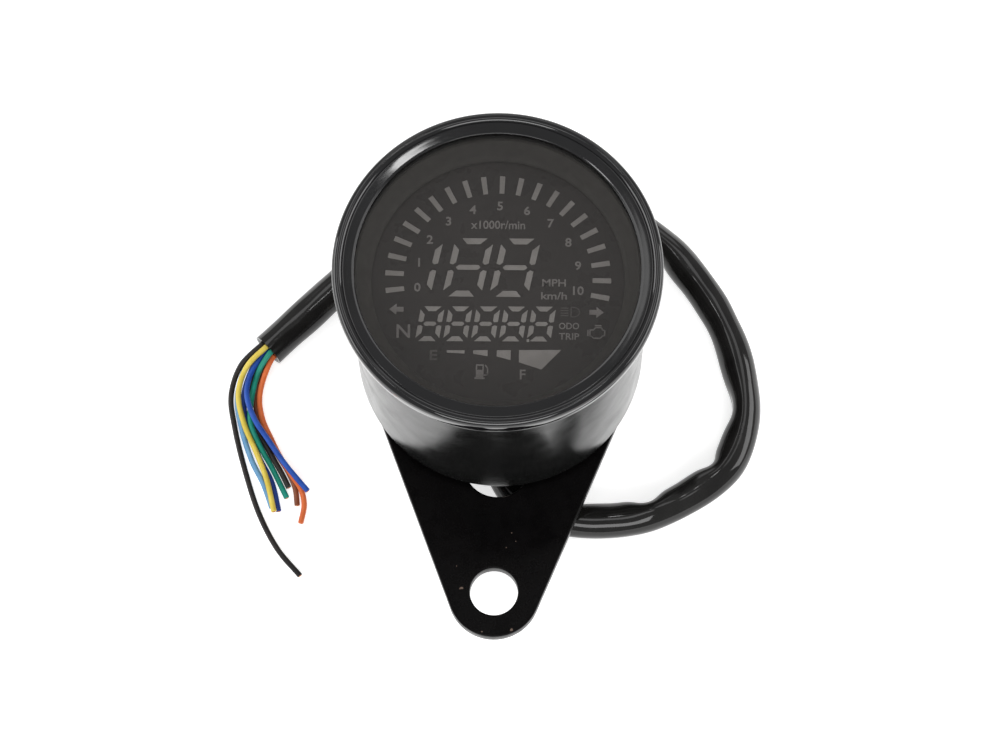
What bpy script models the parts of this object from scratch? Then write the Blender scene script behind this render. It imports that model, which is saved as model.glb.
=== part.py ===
"""Round digital motorcycle gauge on a teardrop bracket, with its cable and loose wire ends.

The gauge lies on its back, face up.  +Z is up, the bracket's tab points to -Y, and the origin is
at the centre of the footprint of everything but the cable, at the height of the stud ends.
"""
import math

import bmesh
import bpy
from mathutils import Vector

MM = 0.001
GAP = 0.3                      # clearance between touching pieces

# ---- driving dimensions, in millimetres ----
BEZEL_R = 32.5                 # widest radius of the bezel ring
CUP_R = 30.0                   # outside radius of the housing cup
CUP_WALL = 1.0
CUP_FLOOR = 1.8
CUP_CORNER = 3.0               # radius of the cup's lower edge
WINDOW_R = 28.1                # visible radius of the lens
FACE_R = 25.1                  # visible radius of the display
FACE_H = 56.0                  # bezel's widest line above the bracket
BRACKET_T = 3.5
HEAD_R = 28.8                  # bracket's round head, behind the cup
TAIL_R = 9.6                   # bracket's round tail
TAIL_DISTANCE = 51.8           # head centre to tail centre
TAB_HOLE_R = 5.0               # mounting hole in the tail
LAMP_HOLE_R = 7.0              # spare hole half behind the cup
LAMP_HOLE_DISTANCE = 24.5
STAND_OFF = 12.0               # stud length below the bracket
STUD_X = 14.5
BUTTON_Y = 17.0                # select button, on the back
BUTTON_TRAVEL = 1.2
SLEEVE_D = 7.5
WIRE_D = 1.2

# ---- levels ----
AXIS_Y = (TAIL_DISTANCE + TAIL_R - BEZEL_R) / 2
BRACKET_TOP = STAND_OFF + BRACKET_T
CUP_BASE = BRACKET_TOP + GAP
CUP_INSIDE = CUP_BASE + CUP_FLOOR
EQUATOR = BRACKET_TOP + FACE_H
LIP_UNDER = EQUATOR - 0.2
LENS_TOP = LIP_UNDER - GAP
LENS_UNDER = LENS_TOP - 1.6
GASKET_TOP = LENS_UNDER - GAP
GASKET_UNDER = GASKET_TOP - 0.4
CUP_RIM = GASKET_UNDER - GAP
MASK_TOP = GASKET_UNDER - GAP
MASK_UNDER = MASK_TOP - 4.8
LCD_TOP = MASK_UNDER - GAP
LCD_UNDER = LCD_TOP - 2.8
GUIDE_TOP = LCD_UNDER - GAP
GUIDE_UNDER = GUIDE_TOP - 3.0
LED_TOP = GUIDE_UNDER - GAP
BOARD_TOP = LED_TOP - 1.3
BOARD_UNDER = BOARD_TOP - 1.6
LEDGE_TOP = BOARD_UNDER - GAP

ROUND = 48                     # segments of the large turned pieces
SMALL = 24                     # segments of the small ones

# ---- cable route over the surface: points from the boot's mouth to the cut end ----
SLEEVE_ROUTE = [
    (0.0, -16.2, 4.5), (0.0, -18.6, 4.3), (0.5, -21.2, 4.0), (1.9, -24.7, 3.8),
    (4.6, -28.5, 3.8), (8.9, -31.5, 3.8), (14.3, -32.9, 3.8), (19.8, -33.3, 3.8),
    (26.5, -32.9, 3.8), (34.3, -30.7, 3.8), (42.0, -26.5, 3.8), (48.9, -20.3, 3.8),
    (52.0, -11.4, 3.8), (51.8, -2.7, 3.8), (49.8, 5.9, 3.8), (46.1, 14.0, 3.8),
    (41.3, 21.5, 3.8), (35.5, 28.0, 3.8), (27.4, 33.7, 3.8), (17.6, 37.2, 3.8),
    (6.6, 38.0, 3.8), (-4.6, 36.8, 3.8), (-15.4, 33.4, 3.8), (-25.4, 27.6, 3.8),
    (-34.0, 19.8, 3.8), (-42.4, 11.3, 3.8), (-50.5, 3.05, 3.8),
]

# ---- loose wires: colour, then the route from the sleeve's mouth to the cut end ----
WIRES = {
    "wire_black": ((0.016, 0.014, 0.013), [
        (-51.9, 3.9, 4.9), (-56.3, -0.2, 2.9), (-58.3, -6.4, 0.75), (-57.15, -13.6, 0.65),
        (-54.3, -23.6, 0.65), (-50.9, -32.8, 0.65), (-46.6, -40.4, 0.65), (-41.6, -46.0, 0.65)]),
    "wire_yellow": ((0.75, 0.52, 0.06), [
        (-51.0, 3.0, 5.7), (-54.8, -0.7, 4.1), (-56.6, -6.4, 2.3), (-55.0, -13.2, 2.1),
        (-52.3, -19.0, 1.95), (-49.7, -25.1, 1.95), (-47.7, -32.4, 1.95)]),
    "wire_light_blue": ((0.16, 0.36, 0.62), [
        (-52.1, 4.1, 3.5), (-55.3, 0.0, 1.7), (-56.9, -6.8, 0.65), (-55.7, -13.6, 0.65),
        (-53.2, -20.7, 0.65), (-50.3, -26.2, 0.65), (-48.3, -31.3, 0.65)]),
    "wire_dark_blue": ((0.02, 0.05, 0.22), [
        (-51.6, 3.6, 2.2), (-54.1, -0.6, 1.1), (-55.6, -6.8, 0.65), (-54.4, -13.1, 0.65),
        (-51.7, -19.9, 0.65), (-48.6, -25.6, 0.65), (-46.8, -32.0, 0.65)]),
    "wire_green": ((0.02, 0.32, 0.2), [
        (-49.9, 2.0, 5.4), (-52.3, -1.5, 3.3), (-53.6, -6.5, 2.0), (-53.7, -12.6, 2.0),
        (-51.3, -18.1, 1.5), (-48.75, -22.3, 0.65), (-46.65, -26.2, 0.65), (-45.2, -29.0, 0.65)]),
    "wire_grey": ((0.03, 0.03, 0.03), [
        (-50.5, 2.6, 1.9), (-52.9, -1.2, 1.0), (-54.3, -6.8, 0.65), (-53.0, -12.9, 0.65),
        (-49.4, -18.9, 0.65), (-46.3, -24.0, 0.65), (-44.9, -26.7, 0.65)]),
    "wire_blue": ((0.03, 0.13, 0.5), [
        (-50.8, 2.8, 3.8), (-53.5, -0.9, 3.6), (-54.7, -6.4, 3.55), (-52.9, -12.0, 3.55),
        (-49.7, -16.7, 3.2), (-46.0, -21.8, 3.25), (-43.0, -25.3, 3.15), (-40.6, -27.9, 2.8)]),
    "wire_brown": ((0.3, 0.1, 0.04), [
        (-49.6, 1.7, 2.7), (-51.6, -1.8, 1.2), (-53.0, -6.8, 0.65), (-51.7, -12.4, 0.65),
        (-48.3, -18.4, 0.65), (-45.0, -23.5, 0.65), (-43.5, -26.8, 0.65), (-42.9, -30.6, 0.65)]),
    "wire_orange": ((0.8, 0.2, 0.05), [
        (-49.35, 1.45, 4.0), (-51.0, -2.2, 3.0), (-52.0, -7.2, 1.95), (-51.1, -12.0, 1.95),
        (-49.1, -16.2, 1.95), (-46.9, -20.3, 1.95), (-44.2, -24.4, 1.9), (-42.2, -27.2, 1.5),
        (-41.4, -30.4, 0.8), (-42.0, -34.5, 0.65)]),
}


def remove_scene_objects():
    for item in list(bpy.data.objects):
        bpy.data.objects.remove(item, do_unlink=True)


def new_collection(name):
    group = bpy.data.collections.new(name)
    bpy.context.scene.collection.children.link(group)
    return group


remove_scene_objects()
PARTS = new_collection("instrument_cluster")
CUTTERS = new_collection("cutters")


def finish(name, colour, roughness, metallic=0.0):
    """A Principled material of the given colour, shared by name."""
    material = bpy.data.materials.get(name)
    if material is None:
        material = bpy.data.materials.new(name)
        material.use_nodes = True
        shader = material.node_tree.nodes["Principled BSDF"]
        shader.inputs["Base Color"].default_value = (*colour, 1.0)
        shader.inputs["Roughness"].default_value = roughness
        shader.inputs["Metallic"].default_value = metallic
    return material


GLOSS_BLACK = finish("gloss_black", (0.006, 0.006, 0.007), 0.08)
BRACKET_BLACK = finish("bracket_black", (0.012, 0.011, 0.011), 0.35)
SMOKED = finish("smoked_lens", (0.02, 0.02, 0.02), 0.04)
SOFT_BLACK = finish("soft_black", (0.014, 0.014, 0.014), 0.6)
MASK_GREY = finish("mask_grey", (0.03, 0.03, 0.03), 0.55)
LCD_GREY = finish("lcd_grey", (0.04, 0.036, 0.034), 0.3)
MILKY = finish("milky_plastic", (0.75, 0.76, 0.74), 0.5)
CARRIER_WHITE = finish("carrier_white", (0.6, 0.6, 0.58), 0.5)
BOARD_GREEN = finish("board_green", (0.02, 0.12, 0.05), 0.45)
CHIP_BLACK = finish("chip_black", (0.015, 0.015, 0.016), 0.5)
ZINC = finish("zinc_steel", (0.62, 0.62, 0.6), 0.35, 1.0)
RUBBER = finish("rubber", (0.012, 0.012, 0.012), 0.7)
STRIP_PINK = finish("zebra_strip", (0.5, 0.3, 0.3), 0.6)
SLEEVE_BLACK = finish("sleeve_black", (0.01, 0.01, 0.01), 0.3)


def place(item, material, location=(0.0, 0.0, 0.0), group=None):
    """Link an object, give it its material, and set it at a place measured from the gauge's axis."""
    (group or PARTS).objects.link(item)
    if material is not None:
        item.data.materials.clear()
        item.data.materials.append(material)
    x, y, z = location
    item.location = (x * MM, (y + AXIS_Y) * MM, z * MM)
    return item


def turned(name, profile, material, location=(0.0, 0.0, 0.0), closed=True, steps=ROUND, group=None):
    """Turn a profile of (radius, height) points, listed down the outer side first, about Z."""
    mesh = bpy.data.meshes.new(name)
    verts = [(r * MM, 0.0, z * MM) for r, z in profile]
    edges = [(i, i + 1) for i in range(len(verts) - 1)]
    if closed:
        edges.append((len(verts) - 1, 0))
    mesh.from_pydata(verts, edges, [])
    item = place(bpy.data.objects.new(name, mesh), material, location, group)
    screw = item.modifiers.new("turn", "SCREW")
    screw.axis = "Z"
    screw.steps = steps
    screw.render_steps = steps
    screw.use_merge_vertices = True
    screw.merge_threshold = 0.00001
    screw.use_smooth_shade = True
    return item


def tube_profile(r_out, r_in, z_low, z_high):
    return [(r_out, z_high), (r_out, z_low), (r_in, z_low), (r_in, z_high)]


def rod_profile(radius, z_low, z_high, chamfer=0.0):
    """Half section of a solid round bar, open on the axis."""
    if chamfer == 0.0:
        return [(0.0, z_high), (radius, z_high), (radius, z_low), (0.0, z_low)]
    return [(0.0, z_high), (radius - chamfer, z_high), (radius, z_high - chamfer),
            (radius, z_low + chamfer), (radius - chamfer, z_low), (0.0, z_low)]


def arc(centre, radius, start, end, count):
    """Points on an arc, angles in degrees."""
    points = []
    for i in range(count + 1):
        angle = math.radians(start + (end - start) * i / count)
        points.append((centre[0] + radius * math.cos(angle), centre[1] + radius * math.sin(angle)))
    return points


def block(name, size, material, location, bevel=0.0, group=None):
    """A box of the given size, its centre at location."""
    mesh = bpy.data.meshes.new(name)
    bm = bmesh.new()
    bmesh.ops.create_cube(bm, size=1.0)
    bmesh.ops.scale(bm, vec=[s * MM for s in size], verts=bm.verts)
    bm.to_mesh(mesh)
    bm.free()
    item = place(bpy.data.objects.new(name, mesh), material, location, group)
    if bevel:
        soften = item.modifiers.new("edges", "BEVEL")
        soften.width = bevel * MM
        soften.segments = 1
    return item


def flat(name, outlines, thickness, material, location, group=None):
    """A flat piece: the first outline is its edge and the others are holes."""
    curve = bpy.data.curves.new(name, "CURVE")
    curve.dimensions = "2D"
    curve.fill_mode = "BOTH"
    curve.extrude = thickness / 2 * MM
    for outline in outlines:
        spline = curve.splines.new("POLY")
        spline.points.add(len(outline) - 1)
        for point, (x, y) in zip(spline.points, outline):
            point.co = (x * MM, y * MM, 0.0, 1.0)
        spline.use_cyclic_u = True
    item = place(bpy.data.objects.new(name, curve), material, location, group)
    return item


def curve_to_mesh(item):
    """Replace a curve object with a welded mesh object of the same name and place."""
    name = item.name
    bpy.context.view_layer.update()
    matrix = item.matrix_world.copy()
    depsgraph = bpy.context.evaluated_depsgraph_get()
    mesh = bpy.data.meshes.new_from_object(item.evaluated_get(depsgraph))
    bm = bmesh.new()
    bm.from_mesh(mesh)
    bmesh.ops.remove_doubles(bm, verts=bm.verts, dist=0.000002)
    bmesh.ops.recalc_face_normals(bm, faces=bm.faces)
    bm.to_mesh(mesh)
    bm.free()
    groups = list(item.users_collection)
    bpy.data.objects.remove(item, do_unlink=True)
    solid = bpy.data.objects.new(name, mesh)
    for group in groups:
        group.objects.link(solid)
    solid.matrix_world = matrix
    return solid


def combine(target, tool, operation):
    """Boolean one mesh with another, which becomes a hidden guide."""
    for group in list(tool.users_collection):
        group.objects.unlink(tool)
    CUTTERS.objects.link(tool)
    tool.hide_render = True
    tool.display_type = "WIRE"
    boolean = target.modifiers.new(operation.lower(), "BOOLEAN")
    boolean.object = tool
    boolean.operation = operation
    boolean.solver = "EXACT"
    return target


def smooth_route(points, spacing):
    """Even points along a centripetal spline through the route's own points."""
    path = [Vector(p) for p in points]
    path = [path[0] * 2 - path[1]] + path + [path[-1] * 2 - path[-2]]
    fine = []
    for i in range(1, len(path) - 2):
        p0, p1, p2, p3 = path[i - 1:i + 3]
        t1 = (p1 - p0).length ** 0.5
        t2 = t1 + (p2 - p1).length ** 0.5
        t3 = t2 + (p3 - p2).length ** 0.5
        for k in range(24):
            t = t1 + (t2 - t1) * k / 24
            a1 = p0 * ((t1 - t) / t1) + p1 * (t / t1)
            a2 = p1 * ((t2 - t) / (t2 - t1)) + p2 * ((t - t1) / (t2 - t1))
            a3 = p2 * ((t3 - t) / (t3 - t2)) + p3 * ((t - t2) / (t3 - t2))
            b1 = a1 * ((t2 - t) / t2) + a2 * (t / t2)
            b2 = a2 * ((t3 - t) / (t3 - t1)) + a3 * ((t - t1) / (t3 - t1))
            fine.append(b1 * ((t2 - t) / (t2 - t1)) + b2 * ((t - t1) / (t2 - t1)))
    fine.append(path[-2])
    travelled = [0.0]
    for a, b in zip(fine, fine[1:]):
        travelled.append(travelled[-1] + (b - a).length)
    count = max(2, round(travelled[-1] / spacing))
    even = []
    j = 0
    for i in range(count + 1):
        wanted = travelled[-1] * i / count
        while j < len(fine) - 2 and travelled[j + 1] < wanted:
            j += 1
        step = travelled[j + 1] - travelled[j]
        even.append(fine[j].lerp(fine[j + 1], (wanted - travelled[j]) / step))
    return even


def tube(name, points, diameter, material, resolution=2, taper_to=None):
    """A round solid along the points, its ends closed."""
    curve = bpy.data.curves.new(name, "CURVE")
    curve.dimensions = "3D"
    curve.bevel_depth = diameter / 2 * MM
    curve.bevel_resolution = resolution
    curve.use_fill_caps = True
    spline = curve.splines.new("POLY")
    spline.points.add(len(points) - 1)
    last = len(points) - 1
    for i, (point, p) in enumerate(zip(spline.points, points)):
        point.co = (p[0] * MM, p[1] * MM, p[2] * MM, 1.0)
        if taper_to is not None:
            point.radius = 1.0 + (taper_to / diameter - 1.0) * i / last
    return place(bpy.data.objects.new(name, curve), material)


# ---- front: bezel, lens, seals and mask ----
def make_bezel_ring():
    bead = arc((31.4, EQUATOR), 1.1, 150, 0, 7)
    foot = arc((31.3, EQUATOR - 3.8), 0.6, 0, -90, 3)
    profile = bead + foot + [
        (CUP_R + 0.35, EQUATOR - 4.4), (CUP_R + 0.35, EQUATOR - 3.85),
        (CUP_R + 1.0, EQUATOR - 3.85), (CUP_R + 1.0, LIP_UNDER),
        (WINDOW_R, LIP_UNDER), (WINDOW_R, EQUATOR + 0.1), (WINDOW_R + 0.2, EQUATOR + 0.25),
    ]
    return turned("bezel_ring", profile, GLOSS_BLACK)


def make_lens():
    return turned("lens", rod_profile(30.6, LENS_UNDER, LENS_TOP, 0.25), SMOKED, closed=False)


def make_lens_gasket():
    return turned("lens_gasket", tube_profile(30.3, 28.3, GASKET_UNDER, GASKET_TOP), RUBBER)


def make_dial_mask():
    profile = [(28.6, MASK_TOP), (28.6, MASK_UNDER), (FACE_R, MASK_UNDER),
               (FACE_R, MASK_UNDER + 0.6), (28.0, MASK_TOP)]
    return turned("dial_mask", profile, MASK_GREY)


# ---- display stack ----
def chopped_disc(radius, chord):
    """A disc outline with two flats at +Y and -Y."""
    half = math.degrees(math.asin(chord / radius))
    right = arc((0, 0), radius, -half, half, 12)
    left = arc((0, 0), radius, 180 - half, 180 + half, 12)
    return right + left


def make_display():
    flat("lcd_panel", [arc((0, 0), 26.6, 0, 352.5, 47)], LCD_TOP - LCD_UNDER, LCD_GREY,
         (0, 0, (LCD_TOP + LCD_UNDER) / 2))
    flat("backlight_guide", [chopped_disc(26.0, 21.2)], GUIDE_TOP - GUIDE_UNDER, MILKY,
         (0, 0, (GUIDE_TOP + GUIDE_UNDER) / 2))
    strip_height = LCD_UNDER - BOARD_TOP - 2 * GAP
    for name, side in (("zebra_strip_top", 1), ("zebra_strip_bottom", -1)):
        block(name, (17.0, 2.2, strip_height), STRIP_PINK,
              (0, side * 23.2, BOARD_TOP + GAP + strip_height / 2))


def make_carrier():
    """A tube that stands on the cup's floor and holds the display stack at its top."""
    outer = CUP_R - CUP_WALL - 0.4
    profile = [(outer, LCD_TOP), (outer, CUP_INSIDE + 2.2), (outer - 1.0, CUP_INSIDE + 0.4),
               (outer - 1.4, CUP_INSIDE + 0.4),
               (outer - 1.4, LEDGE_TOP - 3.0), (24.0, LEDGE_TOP - 1.2), (24.0, LEDGE_TOP),
               (outer - 1.4, LEDGE_TOP), (outer - 1.4, LCD_TOP)]
    return turned("inner_carrier", profile, CARRIER_WHITE)


def make_board():
    outline = arc((0, 0), 26.6, 0, 352.5, 47)
    flat("main_board", [outline], BOARD_TOP - BOARD_UNDER, BOARD_GREEN,
         (0, 0, (BOARD_TOP + BOARD_UNDER) / 2))
    under = BOARD_UNDER - GAP
    block("microcontroller", (12.0, 12.0, 1.6), CHIP_BLACK, (-9.0, 4.0, under - 0.8), 0.2)
    block("display_driver", (10.0, 6.0, 1.6), CHIP_BLACK, (-9.0, -9.0, under - 0.8), 0.2)
    block("voltage_regulator", (6.6, 6.2, 2.3), CHIP_BLACK, (11.0, -6.0, under - 1.15), 0.2)
    block("crystal", (4.8, 11.0, 3.4), ZINC, (3.0, -14.0, under - 1.7), 0.6)
    for name, x, y in (("input_capacitor", 14.0, 3.5), ("output_capacitor", 11.0, -14.5)):
        turned(name, rod_profile(3.1, under - 7.2, under, 0.4), CHIP_BLACK, (x, y, 0),
               closed=False, steps=SMALL)
    for i, angle in enumerate((45, 135, 225, 315)):
        x = 13.0 * math.cos(math.radians(angle))
        y = 13.0 * math.sin(math.radians(angle))
        block(f"backlight_led_{i + 1}", (3.5, 2.8, 1.0), MILKY, (x, y, LED_TOP - 0.5))


def make_harness():
    """The wire connector under the board and the loom that rises to it from the cable."""
    top = BOARD_UNDER - GAP
    block("board_header", (20.0, 5.0, 5.0), CARRIER_WHITE, (0, 12.5, top - 2.5), 0.3)
    block("harness_plug", (19.0, 4.4, 6.0), CARRIER_WHITE, (0, 12.5, top - 5.0 - GAP - 3.0), 0.3)
    high = top - 5.0 - GAP - 6.0 - 2 * GAP
    low = CUP_INSIDE + 3.4 + GAP
    route = [(0, 0, low), (0, 0, low + 5.0), (1.5, 1.0, low + 9.0), (3.0, 5.5, low + 13.0),
             (0.6, 12.0, high - 6.0), (0, 12.5, high - 3.2), (0, 12.5, high)]
    tube("inner_loom", smooth_route(route, 3.0), 4.0, SOFT_BLACK)
    turned("cable_tie", tube_profile(3.4, 2.3, low + 1.6, low + 4.0), SOFT_BLACK, steps=SMALL)


# ---- housing ----
def make_cup():
    corner = arc((CUP_R - CUP_CORNER, CUP_BASE + CUP_CORNER), CUP_CORNER, 0, -90, 5)
    inner = CUP_R - CUP_WALL
    inner_corner = arc((inner - 1.8, CUP_INSIDE + 1.8), 1.8, -90, 0, 3)
    centre_hole = 6.2
    profile = [(30.7, CUP_RIM), (30.7, CUP_RIM - 0.5), (CUP_R, CUP_RIM - 0.5)] + corner + [
        (centre_hole, CUP_BASE), (centre_hole, CUP_INSIDE)] + inner_corner + [(inner, CUP_RIM)]
    cup = turned("housing_cup", profile, GLOSS_BLACK)
    for i, x in enumerate((-STUD_X, STUD_X)):
        drill = turned(f"stud_drill_{i + 1}", rod_profile(2.8, 10.0, 20.0), None, (x, 0, 0),
                       closed=False, steps=SMALL)
        combine(cup, drill, "DIFFERENCE")
    drill = turned("button_drill", rod_profile(4.3, 10.0, 20.0), None, (0, BUTTON_Y, 0),
                   closed=False, steps=SMALL)
    combine(cup, drill, "DIFFERENCE")
    return cup


# ---- bracket and its fastenings ----
def bracket_outline():
    """Two arcs, head and tail, joined by their common tangents."""
    lean = math.degrees(math.asin((HEAD_R - TAIL_R) / TAIL_DISTANCE))
    head = arc((0, 0), HEAD_R, -lean, 180 + lean, 28)
    tail = arc((0, -TAIL_DISTANCE), TAIL_R, 180 + lean, 360 - lean, 16)
    return head + tail


def hole(x, y, radius, count=SMALL):
    return arc((x, y), radius, 0, 360 - 360 / count, count - 1)


def make_bracket():
    holes = [hole(0, -TAIL_DISTANCE, TAB_HOLE_R, 32), hole(0, -LAMP_HOLE_DISTANCE, LAMP_HOLE_R, 32),
             hole(0, 0, 6.2), hole(-STUD_X, 0, 2.9), hole(STUD_X, 0, 2.9), hole(0, BUTTON_Y, 7.0)]
    return flat("bracket_plate", [bracket_outline()] + holes, BRACKET_T, BRACKET_BLACK,
                (0, 0, STAND_OFF + BRACKET_T / 2))


def make_fastenings():
    hexagon = arc((0, 0), 4.0 / math.cos(math.radians(30)), 0, 300, 5)
    bore = hole(0, 0, 2.8)
    for side, x in (("left", -STUD_X), ("right", STUD_X)):
        stud = [(0.0, CUP_INSIDE + 2.3), (5.0, CUP_INSIDE + 2.3), (5.0, CUP_INSIDE + GAP),
                (2.5, CUP_INSIDE + GAP), (2.5, 0.5), (2.0, 0.0), (0.0, 0.0)]
        turned(f"mounting_stud_{side}", stud, ZINC, (x, 0, 0), closed=False, steps=SMALL)
        top = STAND_OFF - GAP
        turned(f"plain_washer_{side}", tube_profile(5.0, 2.8, top - 1.0, top), ZINC, (x, 0, 0),
               steps=SMALL)
        top -= 1.0 + GAP
        split = arc((0, 0), 4.4, 10, 350, 20) + arc((0, 0), 2.8, 350, 10, 20)
        flat(f"spring_washer_{side}", [split], 1.2, ZINC, (x, 0, top - 0.6))
        top -= 1.2 + GAP
        flat(f"mounting_nut_{side}", [hexagon, bore], 4.0, ZINC, (x, 0, top - 2.0))


# ---- cable boot: a grommet that turns the cable flat along the back ----
BOOT_BEND = 7.6                # bend radius of the boot's centreline
BOOT_MOUTH_Y = -15.7


def make_cable_boot():
    """A flanged plug through bracket and cup, and an elbow that leads the cable away along -Y."""
    profile = [(0.0, CUP_INSIDE + 3.4), (5.0, CUP_INSIDE + 3.4), (8.0, CUP_INSIDE + 2.0),
               (8.0, CUP_INSIDE + GAP), (5.8, CUP_INSIDE + GAP), (5.8, STAND_OFF - GAP),
               (8.6, STAND_OFF - GAP), (8.6, STAND_OFF - 1.9), (0.0, STAND_OFF - 1.9)]
    plug = turned("cable_boot", profile, RUBBER, closed=False, steps=32)
    centre_z = 4.9
    points = [(0.0, 0.0, STAND_OFF - 0.8)]
    for y, z in arc((-BOOT_BEND, centre_z + BOOT_BEND), BOOT_BEND, 0, -90, 8):
        points.append((0.0, y, z - 1.6 + 1.6 * (y / -BOOT_BEND)))
    points.append((0.0, -11.5, 4.76))
    points.append((0.0, BOOT_MOUTH_Y, 4.66))
    elbow = tube("boot_elbow", points, 9.8, RUBBER, resolution=4, taper_to=9.2)
    elbow = curve_to_mesh(elbow)
    combine(plug, elbow, "UNION")
    return plug


# ---- select button on the back ----
def make_button():
    at = (0, BUTTON_Y, 0)
    body = [(0.0, CUP_BASE + 12.2), (4.0, CUP_BASE + 12.2), (4.0, CUP_BASE - GAP),
            (5.5, CUP_BASE - GAP), (5.5, CUP_BASE - 1.9), (3.3, CUP_BASE - 1.9),
            (3.3, CUP_BASE + 10.7), (0.0, CUP_BASE + 10.7)]
    turned("button_body", body, SOFT_BLACK, at, closed=False, steps=SMALL)
    nut_top = CUP_INSIDE + GAP + 2.0
    hexagon = arc((0, 0), 5.5 / math.cos(math.radians(30)), 0, 300, 5)
    flat("button_nut", [hexagon, hole(0, 0, 4.3)], 2.0, ZINC, (0, BUTTON_Y, nut_top - 1.0))
    cap_top = CUP_BASE + 5.5
    cap = [(0.0, cap_top), (3.0, cap_top), (3.0, CUP_BASE - 3.4), (2.4, CUP_BASE - 4.0),
           (0.0, CUP_BASE - 4.0)]
    turned("button_cap", cap, RUBBER, at, closed=False, steps=SMALL)
    turns = 4
    low = cap_top + GAP + 0.25
    high = CUP_BASE + 10.7 - GAP - 0.25
    coil = []
    for i in range(turns * 10 + 1):
        angle = math.tau * i / 10
        coil.append((2.0 * math.cos(angle), BUTTON_Y + 2.0 * math.sin(angle),
                     low + (high - low) * i / (turns * 10)))
    tube("button_spring", coil, 0.45, ZINC)
    lead = [(0, BUTTON_Y, CUP_BASE + 12.5), (1.0, BUTTON_Y + 0.6, CUP_BASE + 16.0),
            (8.0, BUTTON_Y + 2.0, CUP_BASE + 24.0), (14.0, BUTTON_Y, BOARD_UNDER - 7.0),
            (14.5, BUTTON_Y - 2.5, BOARD_UNDER - GAP)]
    tube("button_lead", smooth_route(lead, 3.0), 1.8, SOFT_BLACK)


# ---- cable and loose wires ----
def laid_route(points, spacing, diameter):
    """A smooth route whose tube nowhere sinks below the surface."""
    laid = []
    for p in smooth_route(points, spacing):
        laid.append(Vector((p.x, p.y, max(p.z, diameter / 2 + 0.02))))
    return laid


def make_cable():
    sleeve = laid_route(SLEEVE_ROUTE, 4.6, SLEEVE_D)
    tube("cable_sleeve", sleeve, SLEEVE_D, SLEEVE_BLACK, resolution=3)
    for name, (colour, route) in WIRES.items():
        tube(name, laid_route(route, 3.0, WIRE_D), WIRE_D, finish(name, colour, 0.35))


def build():
    make_bezel_ring()
    make_lens()
    make_lens_gasket()
    make_dial_mask()
    make_display()
    make_carrier()
    make_board()
    make_harness()
    make_cup()
    make_bracket()
    make_fastenings()
    make_cable_boot()
    make_button()
    make_cable()


build()
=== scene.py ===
"""Looks of the round digital motorcycle gauge: fine shapes, materials, cable, light and camera.

Sizes are written in millimetres in the gauge's own frame: x and y from the gauge's axis, z from
the surface that it lies on.  They become metres in the row frame when a mesh is made.
"""
import math

import bmesh
import bpy
from mathutils import Matrix, Vector, noise


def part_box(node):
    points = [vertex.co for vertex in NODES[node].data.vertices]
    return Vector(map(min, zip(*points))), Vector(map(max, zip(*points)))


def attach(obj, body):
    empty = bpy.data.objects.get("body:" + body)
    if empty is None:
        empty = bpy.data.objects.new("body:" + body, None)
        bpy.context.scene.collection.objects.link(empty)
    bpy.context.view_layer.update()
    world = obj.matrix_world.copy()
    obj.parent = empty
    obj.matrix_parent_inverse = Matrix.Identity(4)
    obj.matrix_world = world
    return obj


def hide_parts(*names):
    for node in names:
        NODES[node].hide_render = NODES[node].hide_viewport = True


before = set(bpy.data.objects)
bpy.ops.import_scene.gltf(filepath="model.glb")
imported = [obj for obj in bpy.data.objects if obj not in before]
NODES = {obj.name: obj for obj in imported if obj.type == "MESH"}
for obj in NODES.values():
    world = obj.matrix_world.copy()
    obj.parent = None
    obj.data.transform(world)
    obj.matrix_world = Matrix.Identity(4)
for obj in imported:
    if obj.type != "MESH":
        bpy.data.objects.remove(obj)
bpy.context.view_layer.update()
MM = 0.001

# ---- places taken from the CAD model, in millimetres ----
BEZEL_LOW, BEZEL_HIGH = [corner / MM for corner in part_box("bezel_ring")]
AXIS = (BEZEL_LOW + BEZEL_HIGH) / 2
AXIS_Y = AXIS.y
BEZEL_R = (BEZEL_HIGH.x - BEZEL_LOW.x) / 2
EQUATOR = BEZEL_HIGH.z - 1.1
LCD_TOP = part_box("lcd_panel")[1].z / MM
LENS_LOW, LENS_HIGH = [corner.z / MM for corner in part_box("lens")]
MASK_LOW, MASK_HIGH = [corner.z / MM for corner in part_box("dial_mask")]
CUP_LOW, CUP_HIGH = [corner.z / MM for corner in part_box("housing_cup")]
PLATE_LOW, PLATE_HIGH = [corner.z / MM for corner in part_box("bracket_plate")]
BUTTON_Y = (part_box("button_cap")[0].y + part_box("button_cap")[1].y) / 2 / MM - AXIS_Y
STUD_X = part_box("mounting_stud_right")[1].x / MM - 5.0

# ---- camera, as the photograph was taken ----
CAMERA_TILT = 16.83            # degrees from straight down
CAMERA_ROLL = -2.03
CAMERA_TURN = 3.46             # of the whole view about Z
CAMERA_DISTANCE = 678.1
CAMERA_AIM = (-0.26, -4.86)    # where its axis meets the bracket's top face
CAMERA_LENS = 115.2


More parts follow.
